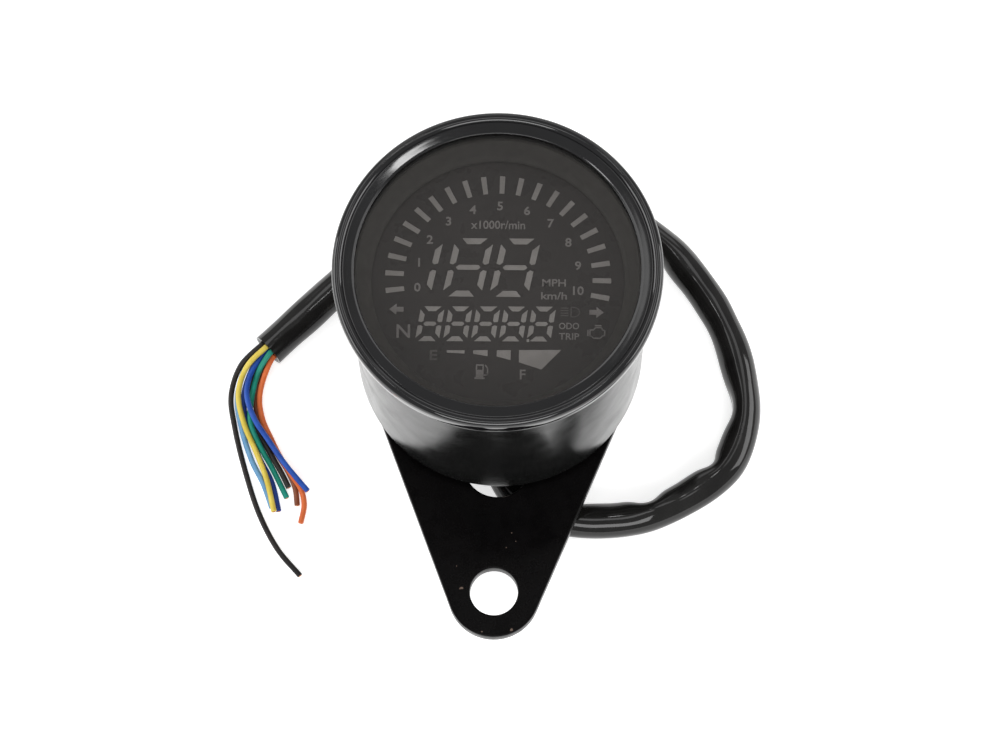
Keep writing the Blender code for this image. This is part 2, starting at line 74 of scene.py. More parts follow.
def make_camera():
    tilt, roll = math.radians(CAMERA_TILT), math.radians(CAMERA_ROLL)
    ahead = Vector((0.0, math.sin(tilt), -math.cos(tilt)))
    right = Vector((1.0, 0.0, 0.0))
    up = right.cross(ahead)
    right, up = (right * math.cos(roll) + up * math.sin(roll),
                 up * math.cos(roll) - right * math.sin(roll))
    eye = Vector((*CAMERA_AIM, 0.0)) - ahead * CAMERA_DISTANCE
    pose = Matrix((right, up, -ahead)).transposed().to_4x4()
    pose.translation = eye * MM
    turn = Matrix.Rotation(math.radians(CAMERA_TURN), 4, "Z")
    shift = Matrix.Translation((0.0, AXIS_Y * MM, PLATE_HIGH * MM))
    data = bpy.data.cameras.new("photo_camera")
    data.lens = CAMERA_LENS
    data.sensor_width = 36.0
    data.clip_start = 0.01
    camera = bpy.data.objects.new("photo_camera", data)
    bpy.context.scene.collection.objects.link(camera)
    camera.matrix_world = shift @ turn @ pose
    bpy.context.scene.camera = camera


# ---- mesh helpers ----
SHARP = 40.0                   # degrees past which an edge is shaded sharp


def row_point(x, y, z):
    return (x * MM, (y + AXIS_Y) * MM, z * MM)


def closed_mesh(name, verts, faces):
    """A mesh in the row frame from points in millimetres, with its faces outward."""
    mesh = bpy.data.meshes.new(name)
    mesh.from_pydata([row_point(*v) for v in verts], [], faces)
    bm = bmesh.new()
    bm.from_mesh(mesh)
    bmesh.ops.remove_doubles(bm, verts=bm.verts, dist=1e-7)
    bmesh.ops.recalc_face_normals(bm, faces=bm.faces)
    bm.to_mesh(mesh)
    bm.free()
    return mesh


def piece(name, verts, faces, material, body="gauge", replaces=(), slot=None, sharp=SHARP):
    """A shaded closed mesh from points in millimetres, riding on a body."""
    mesh = closed_mesh(name, verts, faces)
    mesh.shade_smooth()
    mesh.set_sharp_from_angle(angle=math.radians(sharp))
    mesh.materials.append(material)
    item = bpy.data.objects.new(name, mesh)
    bpy.context.scene.collection.objects.link(item)
    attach(item, body)
    if replaces:
        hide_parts(*replaces)
    return item


def drilled(item, shape):
    """Cut a (verts, faces) shape out of a piece."""
    mesh = closed_mesh("drill", *shape)
    drill = bpy.data.objects.new("drill", mesh)
    bpy.context.scene.collection.objects.link(drill)
    cut = item.modifiers.new("cut", "BOOLEAN")
    cut.operation = "DIFFERENCE"
    cut.solver = "EXACT"
    cut.object = drill
    bpy.context.view_layer.update()
    depsgraph = bpy.context.evaluated_depsgraph_get()
    result = bpy.data.meshes.new_from_object(item.evaluated_get(depsgraph))
    item.modifiers.remove(cut)
    item.data = result
    result.set_sharp_from_angle(angle=math.radians(SHARP))
    bpy.data.objects.remove(drill, do_unlink=True)
    bpy.data.meshes.remove(mesh)


def joined(*shapes):
    """Several (verts, faces) shapes as one."""
    verts, faces = [], []
    for v, f in shapes:
        base = len(verts)
        verts += v
        faces += [tuple(i + base for i in face) for face in f]
    return verts, faces


def arc(centre, radius, start, end, count):
    """Points on an arc, angles in degrees."""
    points = []
    for i in range(count + 1):
        angle = math.radians(start + (end - start) * i / count)
        points.append((centre[0] + radius * math.cos(angle), centre[1] + radius * math.sin(angle)))
    return points


def bridge(rows, loop):
    """Faces between rows of vertex numbers; a row of one number is a pole."""
    faces = []
    pairs = list(zip(rows, rows[1:]))
    if loop:
        pairs.append((rows[-1], rows[0]))
    for a, b in pairs:
        count = max(len(a), len(b))
        for k in range(count):
            n = (k + 1) % count
            if len(a) == 1 and len(b) == 1:
                continue
            if len(a) == 1:
                faces.append((a[0], b[k], b[n]))
            elif len(b) == 1:
                faces.append((a[k], b[0], a[n]))
            else:
                faces.append((a[k], b[k], b[n], a[n]))
    return faces


def turned(profile, steps=192, at=(0.0, 0.0), loop=True, ripple=None):
    """A profile of (radius, height) points turned about Z.

    ripple(radius, height, angle) adds to the radius."""
    verts, rows = [], []
    for radius, height in profile:
        if radius < 1e-6:
            rows.append([len(verts)])
            verts.append((at[0], at[1], height))
            continue
        rows.append(list(range(len(verts), len(verts) + steps)))
        for k in range(steps):
            angle = math.tau * k / steps
            r = radius + (ripple(radius, height, angle) if ripple else 0.0)
            verts.append((at[0] + r * math.cos(angle), at[1] + r * math.sin(angle), height))
    return verts, bridge(rows, loop)


def prism(outline, low, high):
    """A flat convex piece between two heights."""
    count = len(outline)
    verts = [(x, y, high) for x, y in outline] + [(x, y, low) for x, y in outline]
    faces = [tuple(range(count)), tuple(range(2 * count - 1, count - 1, -1))]
    for k in range(count):
        n = (k + 1) % count
        faces.append((k, n, n + count, k + count))
    return verts, faces


def mesh_of(curve):
    """A curve's filled mesh; the curve itself is deleted."""
    holder = bpy.data.objects.new(curve.name, curve)
    bpy.context.scene.collection.objects.link(holder)
    bpy.context.view_layer.update()
    depsgraph = bpy.context.evaluated_depsgraph_get()
    mesh = bpy.data.meshes.new_from_object(holder.evaluated_get(depsgraph))
    bpy.data.objects.remove(holder, do_unlink=True)
    bpy.data.curves.remove(curve)
    return mesh


def sweep(points, radius, sides, up=(0.0, 0.0, 1.0)):
    """Rings round a line of points; radius(i, angle) is measured from it, angle 90 towards up."""
    line = [Vector(p) for p in points]
    verts, rows = [], []
    for i, here in enumerate(line):
        along = (line[min(i + 1, len(line) - 1)] - line[max(i - 1, 0)]).normalized()
        top = Vector(up)
        top = (top - along * top.dot(along)).normalized()
        side = along.cross(top)
        if radius(i, 0.0) < 1e-6:
            rows.append([len(verts)])
            verts.append(tuple(here))
            continue
        rows.append(list(range(len(verts), len(verts) + sides)))
        for k in range(sides):
            angle = math.tau * k / sides
            out = side * math.cos(angle) + top * math.sin(angle)
            verts.append(tuple(here + out * radius(i, angle)))
    return verts, bridge(rows, False)


def with_ends(verts, faces, sides, start, end):
    """A sweep closed by fans from its first and last rings to two points."""
    first, last = len(verts), len(verts) + 1
    final_ring = len(verts) - sides
    for k in range(sides):
        n = (k + 1) % sides
        faces.append((first, k, n))
        faces.append((last, final_ring + n, final_ring + k))
    return verts + [tuple(start), tuple(end)], faces


def smooth_route(points, spacing):
    """Even points along a centripetal spline through the route's own points."""
    path = [Vector(p) for p in points]
    path = [path[0] * 2 - path[1]] + path + [path[-1] * 2 - path[-2]]
    fine = []
    for i in range(1, len(path) - 2):
        p0, p1, p2, p3 = path[i - 1:i + 3]
        t1 = (p1 - p0).length ** 0.5
        t2 = t1 + (p2 - p1).length ** 0.5
        t3 = t2 + (p3 - p2).length ** 0.5
        for k in range(24):
            t = t1 + (t2 - t1) * k / 24
            a1 = p0 * ((t1 - t) / t1) + p1 * (t / t1)
            a2 = p1 * ((t2 - t) / (t2 - t1)) + p2 * ((t - t1) / (t2 - t1))
            a3 = p2 * ((t3 - t) / (t3 - t2)) + p3 * ((t - t2) / (t3 - t2))
            b1 = a1 * ((t2 - t) / t2) + a2 * (t / t2)
            b2 = a2 * ((t3 - t) / (t3 - t1)) + a3 * ((t - t1) / (t3 - t1))
            fine.append(b1 * ((t2 - t) / (t2 - t1)) + b2 * ((t - t1) / (t2 - t1)))
    fine.append(path[-2])
    travelled = [0.0]
    for a, b in zip(fine, fine[1:]):
        travelled.append(travelled[-1] + (b - a).length)
    count = max(2, round(travelled[-1] / spacing))
    even = []
    j = 0
    for i in range(count + 1):
        wanted = travelled[-1] * i / count
        while j < len(fine) - 2 and travelled[j + 1] < wanted:
            j += 1
        step = travelled[j + 1] - travelled[j]
        even.append(fine[j].lerp(fine[j + 1], (wanted - travelled[j]) / step))
    return even


def laid_route(points, spacing, diameter):
    """A smooth route whose tube nowhere sinks below the surface."""
    return [Vector((p.x, p.y, max(p.z, diameter / 2 + 0.02))) for p in smooth_route(points, spacing)]


def length_of(line):
    return sum((b - a).length for a, b in zip(line, line[1:]))


# ---- materials ----
def shader(name, **sockets):
    """A new material's node tree and its Principled shader, with the constant sockets set."""
    material = bpy.data.materials.new(name)
    material.use_nodes = True
    tree = material.node_tree
    principled = tree.nodes["Principled BSDF"]
    for socket, value in sockets.items():
        principled.inputs[socket.replace("_", " ")].default_value = value
    return material, tree, principled


def noise_node(tree, scale, detail=4.0, stretch=None, distortion=0.0):
    """Procedural noise over the object's own coordinates; scale is in features per metre."""
    place = tree.nodes.new("ShaderNodeTexCoord")
    texture = tree.nodes.new("ShaderNodeTexNoise")
    texture.inputs["Scale"].default_value = scale
    texture.inputs["Detail"].default_value = detail
    texture.inputs["Distortion"].default_value = distortion
    source = place.outputs["Object"]
    if stretch:
        mapping = tree.nodes.new("ShaderNodeMapping")
        mapping.inputs["Scale"].default_value = stretch
        tree.links.new(source, mapping.inputs["Vector"])
        source = mapping.outputs["Vector"]
    tree.links.new(source, texture.inputs["Vector"])
    return texture.outputs["Fac"]


def remap(tree, source, low, high, to_low, to_high):
    node = tree.nodes.new("ShaderNodeMapRange")
    for socket, value in (("From Min", low), ("From Max", high),
                          ("To Min", to_low), ("To Max", to_high)):
        node.inputs[socket].default_value = value
    tree.links.new(source, node.inputs["Value"])
    return node.outputs["Result"]


def math_node(tree, operation, *values):
    """A maths node over values that are each a number or an output socket."""
    node = tree.nodes.new("ShaderNodeMath")
    node.operation = operation
    for index, value in enumerate(values):
        if isinstance(value, bpy.types.NodeSocket):
            tree.links.new(value, node.inputs[index])
        else:
            node.inputs[index].default_value = value
    return node.outputs[0]


def mix_colour(tree, factor, first, second):
    """Mix two colours, each a colour or an output socket."""
    node = tree.nodes.new("ShaderNodeMix")
    node.data_type = "RGBA"
    tree.links.new(factor, node.inputs[0])
    for index, value in ((6, first), (7, second)):
        if isinstance(value, bpy.types.NodeSocket):
            tree.links.new(value, node.inputs[index])
        else:
            node.inputs[index].default_value = (*value, 1.0)
    return node.outputs[2]


def chips(tree, spots):
    """A mask of small ragged spots, each (x, y, radius) in mm on the bracket's top face."""
    place = tree.nodes.new("ShaderNodeTexCoord").outputs["Object"]
    ragged = noise_node(tree, 1500.0)
    mask = None
    for x, y, radius in spots:
        away = tree.nodes.new("ShaderNodeVectorMath")
        away.operation = "DISTANCE"
        away.inputs[1].default_value = row_point(x, y, PLATE_HIGH)
        tree.links.new(place, away.inputs[0])
        size = radius * MM
        uneven = math_node(tree, "MULTIPLY_ADD", ragged, 3.0 * size, away.outputs["Value"])
        spot = remap(tree, uneven, 1.9 * size, 2.2 * size, 1.0, 0.0)
        mask = math_node(tree, "MAXIMUM", mask, spot) if mask else spot
    return mask


def finish(name, dark, light, grain, roughness, bumps=(), worn=None, chipped=None, stretch=None,
           **sockets):
    """Mottled colour, uneven roughness, bumps as (features per metre, depth in mm), worn edges."""
    material, tree, principled = shader(name, **sockets)
    mottle = remap(tree, noise_node(tree, grain, 5.0, stretch), 0.3, 0.7, 0.0, 1.0)
    colour = mix_colour(tree, mottle, dark, light)
    rough = remap(tree, noise_node(tree, grain * 2.7, 3.0, stretch), 0.3, 0.7, *roughness)
    if worn:
        edge_colour, low, high = worn
        edge = tree.nodes.new("ShaderNodeNewGeometry")
        breakup = noise_node(tree, 420.0, 6.0)
        height = tree.nodes.new("ShaderNodeSeparateXYZ")
        tree.links.new(edge.outputs["Normal"], height.inputs[0])
        level = math_node(tree, "ABSOLUTE", height.outputs["Z"])
        steep = remap(tree, level, 0.93, 0.99, 1.0, 0.0)
        rim = remap(tree, edge.outputs["Pointiness"], low, high, 0.0, 1.0)
        patches = remap(tree, breakup, 0.45, 0.62, 0.0, 1.0)
        wear = math_node(tree, "MULTIPLY", math_node(tree, "MULTIPLY", rim, patches), steep)
        colour = mix_colour(tree, wear, colour, edge_colour)
    if chipped:
        colour = mix_colour(tree, chips(tree, chipped[1]), colour, chipped[0])
    tree.links.new(colour, principled.inputs["Base Color"])
    tree.links.new(rough, principled.inputs["Roughness"])
    normal = None
    for scale, depth in bumps:
        bump = tree.nodes.new("ShaderNodeBump")
        bump.inputs["Strength"].default_value = 1.0
        bump.inputs["Distance"].default_value = depth * MM
        tree.links.new(noise_node(tree, scale, 3.0, stretch), bump.inputs["Height"])
        if normal:
            tree.links.new(normal, bump.inputs["Normal"])
        normal = bump.outputs["Normal"]
    if normal:
        tree.links.new(normal, principled.inputs["Normal"])
    return material


# Chips in the bracket's paint: place from the gauge's axis and radius, in mm
BRACKET_CHIPS = [(-6.7, -51.2, 0.45), (3.9, -59.9, 0.5), (-2.2, -60.4, 0.25), (3.4, -39.2, 0.22),
                 (2.3, -42.4, 0.15), (4.3, -41.0, 0.12), (-7.9, -46.6, 0.14)]


def make_materials():
    """Every finish by name."""
    made = {}

    def add(name, *values, **more):
        made[name] = finish(name, *values, **more)

    add("gloss_black", (0.0045, 0.0045, 0.005), (0.008, 0.008, 0.009), 60.0, (0.045, 0.09),
        bumps=((55.0, 0.012), (420.0, 0.0012)), worn=((0.05, 0.048, 0.045), 0.56, 0.62),
        Specular_IOR_Level=0.62)
    add("cup_black", (0.0045, 0.0048, 0.0047), (0.008, 0.0082, 0.008), 70.0, (0.15, 0.23),
        bumps=((60.0, 0.02), (500.0, 0.0015)), Specular_IOR_Level=0.14)
    add("bracket_black", (0.0012, 0.0010, 0.0011), (0.0024, 0.0020, 0.0021), 180.0, (0.22, 0.34),
        bumps=((90.0, 0.012), (2600.0, 0.0012)), worn=((0.07, 0.062, 0.057), 0.55, 0.62),
        chipped=((0.14, 0.10, 0.08), BRACKET_CHIPS), Specular_IOR_Level=0.08)
    add("mask_grey", (0.095, 0.088, 0.081), (0.116, 0.108, 0.099), 500.0, (0.45, 0.6),
        bumps=((3000.0, 0.003),), Specular_IOR_Level=0.4)
    add("lcd_grey", (0.080, 0.071, 0.067), (0.093, 0.082, 0.078), 90.0, (0.25, 0.34),
        bumps=((5000.0, 0.0008),), Specular_IOR_Level=0.4)
    greys = {
        "segment_grey": ((0.52, 0.485, 0.455), (0.62, 0.585, 0.555)),
        "print_grey": ((0.38, 0.352, 0.336), (0.46, 0.426, 0.407)),
        "faint_grey": ((0.18, 0.164, 0.156), (0.22, 0.200, 0.191)),
    }
    for name, (dark, light) in greys.items():
        add(name, dark, light, 400.0, (0.4, 0.5), bumps=((5000.0, 0.0008),))
    add("milky_plastic", (0.70, 0.71, 0.69), (0.80, 0.81, 0.79), 120.0, (0.4, 0.55),
        bumps=((900.0, 0.01),))
    add("carrier_white", (0.55, 0.55, 0.53), (0.64, 0.64, 0.62), 90.0, (0.42, 0.58),
        bumps=((700.0, 0.01),))
    add("board_green", (0.015, 0.10, 0.04), (0.03, 0.15, 0.07), 500.0, (0.3, 0.5),
        bumps=((1200.0, 0.02),))
    add("chip_black", (0.012, 0.012, 0.013), (0.022, 0.022, 0.023), 1500.0, (0.45, 0.6),
        bumps=((4000.0, 0.008),))
    add("zinc", (0.50, 0.50, 0.49), (0.68, 0.67, 0.63), 350.0, (0.22, 0.42),
        bumps=((1800.0, 0.006),), worn=((0.80, 0.79, 0.76), 0.54, 0.60), Metallic=1.0)
    add("soft_black", (0.011, 0.011, 0.011), (0.019, 0.019, 0.019), 300.0, (0.45, 0.62),
        bumps=((1500.0, 0.01),))
    add("rubber", (0.010, 0.010, 0.010), (0.020, 0.0195, 0.019), 250.0, (0.5, 0.72),
        bumps=((1400.0, 0.02), (120.0, 0.05)), Specular_IOR_Level=0.4)
    add("zebra_strip", (0.42, 0.24, 0.24), (0.58, 0.36, 0.35), 60.0, (0.5, 0.65),
        bumps=((900.0, 0.02),), stretch=(60.0, 1.0, 1.0))
    add("sleeve_black", (0.0065, 0.0062, 0.006), (0.014, 0.0135, 0.013), 160.0, (0.05, 0.10),
        bumps=((75.0, 0.05), (420.0, 0.008)), Specular_IOR_Level=0.42)
    add("copper", (0.55, 0.22, 0.10), (0.75, 0.36, 0.19), 2500.0, (0.25, 0.45),
        bumps=((5000.0, 0.004),), Metallic=1.0)
    insulation = {
        "wire_black": ((0.009, 0.007, 0.007), (0.018, 0.014, 0.013)),
        "wire_yellow": ((0.66, 0.50, 0.06), (0.80, 0.64, 0.12)),
        "wire_light_blue": ((0.13, 0.32, 0.56), (0.22, 0.44, 0.68)),
        "wire_dark_blue": ((0.012, 0.035, 0.20), (0.02, 0.06, 0.30)),
        "wire_green": ((0.005, 0.20, 0.13), (0.012, 0.32, 0.24)),
        "wire_grey": ((0.016, 0.015, 0.014), (0.034, 0.033, 0.03)),
        "wire_blue": ((0.012, 0.06, 0.34), (0.022, 0.10, 0.48)),
        "wire_brown": ((0.16, 0.045, 0.02), (0.26, 0.08, 0.035)),
        "wire_orange": ((0.62, 0.12, 0.03), (0.80, 0.19, 0.055)),
    }
    for name, (dark, light) in insulation.items():
        add(name, dark, light, 300.0, (0.34, 0.46), bumps=((260.0, 0.02), (1800.0, 0.003)),
            Specular_IOR_Level=0.3)
    glass, tree, principled = shader("smoked_lens", Alpha=0.30, Specular_IOR_Level=0.9)
    tint = mix_colour(tree, noise_node(tree, 45.0), (0.012, 0.011, 0.010), (0.017, 0.016, 0.015))
    tree.links.new(tint, principled.inputs["Base Color"])
    smear = remap(tree, noise_node(tree, 90.0, 6.0, (1.0, 3.0, 1.0)), 0.35, 0.75, 0.02, 0.10)
    tree.links.new(smear, principled.inputs["Roughness"])
    made["smoked_lens"] = glass
    return made


LOOK = make_materials()

# ---- cable route over the surface: points from the boot's mouth to the cut end ----
SLEEVE_D = 7.5
SLEEVE_WALL = 0.45
SLEEVE_SIDES = 48
BORE_POINTS = 12               # how many points of the line the hollow of the cut end takes
SLEEVE_ROUTE = [
    (0.0, -16.2, 4.5), (0.0, -18.6, 4.3), (0.5, -21.2, 4.0), (1.9, -24.7, 3.8),
    (4.6, -28.5, 3.8), (8.9, -31.5, 3.8), (14.3, -32.9, 3.8), (19.8, -33.3, 3.8),
    (26.5, -32.9, 3.8), (34.3, -30.7, 3.8), (42.0, -26.5, 3.8), (48.9, -20.3, 3.8),
    (52.0, -11.4, 3.8), (51.8, -2.7, 3.8), (49.8, 5.9, 3.8), (46.1, 14.0, 3.8),
    (41.3, 21.5, 3.8), (35.5, 28.0, 3.8), (27.4, 33.7, 3.8), (17.6, 37.2, 3.8),
    (6.6, 38.0, 3.8), (-4.6, 36.8, 3.8), (-15.4, 33.4, 3.8), (-25.4, 27.6, 3.8),
    (-34.0, 19.8, 3.8), (-42.4, 11.3, 3.8), (-50.5, 3.05, 3.8),
]
BOOT_MOUTH = Vector((0.0, -15.7, 4.66))

# ---- loose wires: routes from the sleeve's mouth to the cut ends ----
WIRE_D = 1.2
WIRES = {
    "wire_black": [
        (-51.9, 3.9, 4.9), (-56.3, -0.2, 2.9), (-58.3, -6.4, 0.75), (-57.15, -13.6, 0.65),
        (-54.3, -23.6, 0.65), (-50.9, -32.8, 0.65), (-46.6, -40.4, 0.65), (-41.6, -46.0, 0.65)],
    "wire_yellow": [
        (-51.0, 3.0, 5.7), (-54.8, -0.7, 4.1), (-56.6, -6.4, 2.3), (-55.0, -13.2, 2.1),
        (-52.3, -19.0, 1.95), (-49.7, -25.1, 1.95), (-47.7, -32.4, 1.95)],
    "wire_light_blue": [
        (-52.1, 4.1, 3.5), (-55.3, 0.0, 1.7), (-56.9, -6.8, 0.65), (-55.7, -13.6, 0.65),
        (-53.2, -20.7, 0.65), (-50.3, -26.2, 0.65), (-48.3, -31.3, 0.65)],
    "wire_dark_blue": [
        (-51.6, 3.6, 2.2), (-54.1, -0.6, 1.1), (-55.6, -6.8, 0.65), (-54.4, -13.1, 0.65),
        (-51.7, -19.9, 0.65), (-48.6, -25.6, 0.65), (-46.8, -32.0, 0.65)],
    "wire_green": [
        (-49.9, 2.0, 5.4), (-52.3, -1.5, 3.3), (-53.6, -6.5, 2.0), (-53.7, -12.6, 2.0),
        (-51.3, -18.1, 1.5), (-48.75, -22.3, 0.65), (-46.65, -26.2, 0.65), (-45.2, -29.0, 0.65)],
    "wire_grey": [
        (-50.5, 2.6, 1.9), (-52.9, -1.2, 1.0), (-54.3, -6.8, 0.65), (-53.0, -12.9, 0.65),
        (-49.4, -18.9, 0.65), (-46.3, -24.0, 0.65), (-44.9, -26.7, 0.65)],
    "wire_blue": [
        (-50.8, 2.8, 3.8), (-53.5, -0.9, 3.6), (-54.7, -6.4, 3.55), (-52.9, -12.0, 3.55),
        (-49.7, -16.7, 3.2), (-46.0, -21.8, 3.25), (-43.0, -25.3, 3.15), (-40.6, -27.9, 2.8)],
    "wire_brown": [
        (-49.6, 1.7, 2.7), (-51.6, -1.8, 1.2), (-53.0, -6.8, 0.65), (-51.7, -12.4, 0.65),
        (-48.3, -18.4, 0.65), (-45.0, -23.5, 0.65), (-43.5, -26.8, 0.65), (-42.9, -30.6, 0.65)],
    "wire_orange": [
        (-49.35, 1.45, 4.0), (-51.0, -2.2, 3.0), (-52.0, -7.2, 1.95), (-51.1, -12.0, 1.95),
        (-49.1, -16.2, 1.95), (-46.9, -20.3, 1.95), (-44.2, -24.4, 1.9), (-42.2, -27.2, 1.5),
        (-41.4, -30.4, 0.8), (-42.0, -34.5, 0.65)],
}

# Kinks of the soft sleeve: distance along it in mm, depth as a share of the radius, length in mm
KINKS = [(24.0, 0.10, 5.0), (43.0, 0.50, 3.0), (60.5, 0.30, 2.6), (76.5, 0.42, 4.6),
         (95.0, 0.06, 6.0), (118.0, 0.34, 4.0), (150.0, 0.08, 7.0), (183.0, 0.07, 7.0)]


def turn_side(line, i, reach=14):
    """Which way the route bends at a point: +1 where the inner side is at angle 0 of a sweep."""
    a, b, c = line[max(i - reach, 0)], line[i], line[min(i + reach, len(line) - 1)]
    return 1.0 if (b - a).cross(c - b).z < 0 else -1.0


def make_sleeve():
    """A soft glossy tube with kinks on the inner side of its bends and a hollow cut end."""
    line = laid_route(SLEEVE_ROUTE, 0.7, SLEEVE_D)
    total = length_of(line)
    radius = SLEEVE_D / 2
    bore = line[-BORE_POINTS:]
    path = line + bore[::-1]
    last = len(line) - 1

    def shape(i, angle):
        if i > last:
            return radius - SLEEVE_WALL
        s = total * i / last
        inner = 0.0 if turn_side(line, i) > 0 else math.pi
        away = abs((angle - inner + math.pi) % math.tau - math.pi)
        r = radius
        for at, depth, reach in KINKS:
            dent = radius * depth * math.exp(-((s - at) / reach) ** 2)
            pinch = math.exp(-(away / 0.95) ** 2)
            bulge = math.exp(-((away - 1.5) / 0.5) ** 2)
            r += dent * (0.18 * bulge - pinch)
        wrinkle = noise.noise(Vector((s * 0.16, math.cos(angle) * 1.3, math.sin(angle) * 1.3)))
        swell = noise.noise(Vector((s * 0.11, 3.0, 0.0)))
        return r + 0.09 * wrinkle + 0.24 * swell

    verts, faces = sweep(path, shape, SLEEVE_SIDES)
    verts = [(x, y, max(z, 0.0)) for x, y, z in verts]
    closed = with_ends(verts, faces, SLEEVE_SIDES, path[0], path[-1])
    return piece("sleeve", *closed, LOOK["sleeve_black"], replaces=["cable_sleeve"],
                 slot="sleeve_black", sharp=60.0), line, total


def tube_with_bore(line, radius, bore, deep, sides):
    """A tube along a line whose far end is cut square and open a short way in."""
    back = (line[-2] - line[-1]).normalized()
    inside = [line[-1], line[-1] + back * deep]
    path = list(line[:-1]) + [line[-1] + back * 0.08, line[-1]] + inside
    edge = len(path) - 3

    def shape(i, angle):
        if i > edge:
            return bore
        if i == edge:
            return radius - 0.08
        return radius + 0.012 * noise.noise(path[i] * 0.5)

    return with_ends(*sweep(path, shape, sides), sides, path[0], path[-1])


def strands(line, radius, proud):
    """Seven twisted copper strands that show at a cut end."""
    back = (line[-2] - line[-1]).normalized()
    across = back.cross(Vector((0.0, 0.0, 1.0))).normalized()
    over = across.cross(back)
    shapes = []
    for k in range(7):
        steps = []
        for j in range(7):
            angle = math.tau * k / 6 + 0.25 * j
            out = 0.0 if k == 6 else 2.05 * radius
            along = back * (0.66 - (0.66 + proud) * j / 6)
            twist = across * math.cos(angle) + over * math.sin(angle)
            steps.append(line[-1] + along + twist * out)
        path = [steps[0], *steps, steps[-1]]
        ends = (0, len(path) - 1)
        shapes.append(sweep(path, lambda i, angle: 0.0 if i in ends else radius, 8))
    return joined(*shapes)


def make_cords():
    sleeve, line, total = make_sleeve()
    into = (line[-3] - line[-1]).normalized()
    for name, route in WIRES.items():
        points = [Vector(p) for p in route]
        hidden = [points[0] + into * d for d in (3.0, 2.0, 1.0)]
        whole = laid_route(hidden + points, 0.5, WIRE_D)
        verts, faces = tube_with_bore(whole, WIRE_D / 2, 0.36, 0.6, 20)
        wire = piece(name + "_run", verts, faces, LOOK[name], replaces=[name], slot=name)
        core = piece(name + "_strands", *strands(whole, 0.11, 0.1), LOOK["copper"])


# ---- bezel, lens, cup and mask ----
def make_bezel():
    bead = arc((31.4, EQUATOR), 1.1, 150, 0, 28)
    side = [(BEZEL_R, EQUATOR - 0.6), (BEZEL_R - 0.02, EQUATOR - 1.9), (BEZEL_R - 0.3, EQUATOR - 3.2)]
    foot = arc((31.55, EQUATOR - 3.75), 0.62, 20, -90, 10)
    inside = [(30.35, EQUATOR - 4.37), (30.35, EQUATOR - 3.9), (31.0, EQUATOR - 3.9), (31.0, EQUATOR - 0.2)]
    lip = [(28.1, EQUATOR - 0.2), (28.1, EQUATOR - 0.02)] + arc((28.32, EQUATOR + 0.0), 0.22, 180, 98, 6)
    band = [(28.7, EQUATOR + 0.265), (29.4, EQUATOR + 0.35), (30.1, EQUATOR + 0.44), (30.34, EQUATOR + 0.46),
            (30.42, EQUATOR + 0.42)]
    piece("bezel", *turned(bead + side + foot + inside + lip + band, 256), LOOK["gloss_black"],
          replaces=["bezel_ring"], slot="gloss_black", sharp=50.0)


def make_lens_piece():
    edge = 0.22
    rim = 30.6
    profile = [(0.0, LENS_HIGH), (rim - edge, LENS_HIGH), (rim, LENS_HIGH - edge),
               (rim, LENS_LOW + edge), (rim - edge, LENS_LOW), (0.0, LENS_LOW)]
    piece("smoked_glass", *turned(profile, 192, loop=False), LOOK["smoked_lens"],
          replaces=["lens"], slot="smoked_lens", sharp=15.0)


def make_mask():
    slope = [(27.9, MASK_HIGH - 0.02), (27.3, MASK_HIGH - 0.85), (26.2, MASK_LOW + 2.2),
             (25.35, MASK_LOW + 0.95), (25.1, MASK_LOW + 0.75)]
    profile = [(28.6, MASK_HIGH), (28.6, MASK_LOW), (25.2, MASK_LOW), (25.05, MASK_LOW + 0.12),
               (25.05, MASK_LOW + 0.55)] + slope[::-1] + [(28.05, MASK_HIGH)]
    piece("mask", *turned(profile, 192), LOOK["mask_grey"], replaces=["dial_mask"],
          slot="mask_grey")


def make_cup():
    """Drawn steel cup: rolled flange under the bezel, straight wall, round lower corner."""
    wall, outer, corner = 1.0, 30.0, 3.0
    inner = outer - wall
    flange = [(30.6, CUP_HIGH), (30.7, CUP_HIGH - 0.1), (30.7, CUP_HIGH - 0.42),
              (30.6, CUP_HIGH - 0.5), (outer + 0.15, CUP_HIGH - 0.55), (outer, CUP_HIGH - 0.8)]
    side = [(outer, CUP_HIGH - 6.0), (outer, CUP_HIGH - 20.0), (outer, CUP_LOW + 14.0)]
    low = arc((outer - corner, CUP_LOW + corner), corner, 0, -90, 14)
    floor = CUP_LOW + 1.8
    base = [(20.0, CUP_LOW), (8.0, CUP_LOW), (6.4, CUP_LOW), (6.2, CUP_LOW + 0.2), (6.2, floor)]
    inside = [(20.0, floor)] + arc((inner - 1.8, floor + 1.8), 1.8, -90, 0, 6) + [(inner, CUP_HIGH)]

    def ripple(radius, height, angle):
        if radius < inner - 0.5:
            return 0.0
        return 0.02 * noise.noise(Vector((math.cos(angle) * 1.6, math.sin(angle) * 1.6, height * 0.05)))

    verts, faces = turned(flange + side + low + base + inside, 256, ripple=ripple)
    cup = piece("cup", verts, faces, LOOK["cup_black"], replaces=["housing_cup"], slot="gloss_black")
    above, below = floor + 2.0, CUP_LOW - 2.0
    drills = []
    for x, y, radius in ((-STUD_X, 0.0, 2.8), (STUD_X, 0.0, 2.8), (0.0, BUTTON_Y, 4.3)):
        rod = [(0.0, above), (radius, above), (radius, below), (0.0, below)]
        drills.append(turned(rod, 48, (x, y), loop=False))
    drilled(cup, joined(*drills))


# ---- display ----
LIFT = 0.04                    # how far the segments stand on the glass
SUNK = 0.01                    # how far they go into it
TICK_STEP = 9.88               # degrees between the marks of the ring
TICK_START = 187.9
RING_CENTRE_Y = 0.6
RING_RADII = (20.56, 19.77)    # the ring of marks is slightly oval
DISPLAY_TURN = 0.7             # the whole display sits slightly turned


